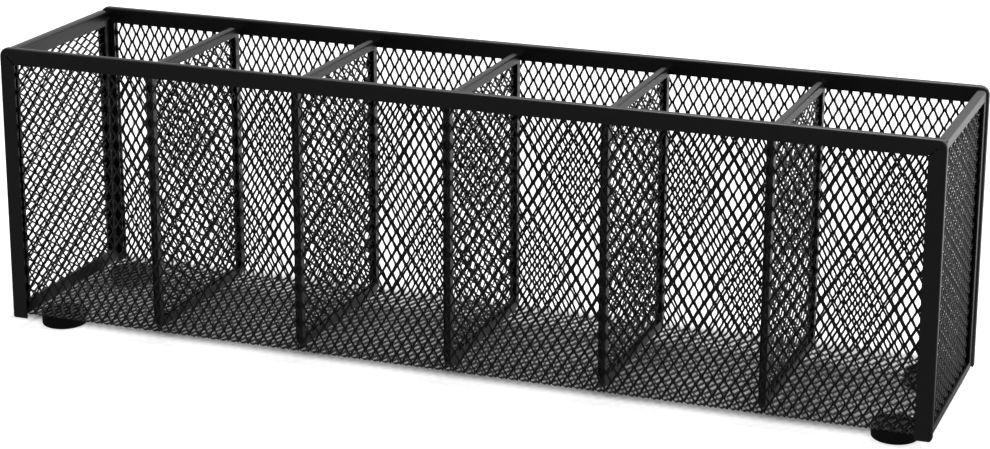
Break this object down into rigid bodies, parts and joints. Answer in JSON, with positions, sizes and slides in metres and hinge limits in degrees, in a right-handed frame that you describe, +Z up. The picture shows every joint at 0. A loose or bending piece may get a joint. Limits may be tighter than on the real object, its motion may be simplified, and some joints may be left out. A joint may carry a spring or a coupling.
{
  "type": "desk organizer",
  "caption": "Long, narrow, open-topped desk organizer of black expanded steel mesh, edged with folded strip and split by mesh dividers, on low rubber feet.",
  "frame": {"origin": "middle of the box's footprint, on the surface that the four feet stand on", "axes": "+X along the length, to the viewer's right; +Y from the front to the back; +Z up"},
  "size_m": [0.312, 0.069, 0.0971],
  "materials": {
    "mesh_paint": "black powder coat on expanded steel, satin",
    "strip_paint": "black powder coat on folded steel strip, satin",
    "foot_rubber": "matt black"
  },
  "bodies": {
    "root": {"front_mesh": "mesh_paint", "floor_mesh": "mesh_paint", "back_mesh": "mesh_paint", "front_frame": "strip_paint", "back_frame": "strip_paint", "left_end_mesh": "mesh_paint", "right_end_mesh": "mesh_paint", "left_end_frame": "strip_paint", "right_end_frame": "strip_paint", "divider_mesh_1": "mesh_paint", "divider_mesh_2": "mesh_paint", "divider_mesh_3": "mesh_paint", "divider_mesh_4": "mesh_paint", "divider_mesh_5": "mesh_paint", "divider_frame_1": "strip_paint", "divider_frame_2": "strip_paint", "divider_frame_3": "strip_paint", "divider_frame_4": "strip_paint", "divider_frame_5": "strip_paint", "foot_front_left": "foot_rubber", "foot_front_right": "foot_rubber", "foot_back_left": "foot_rubber", "foot_back_right": "foot_rubber"}
  },
  "joints": []
}
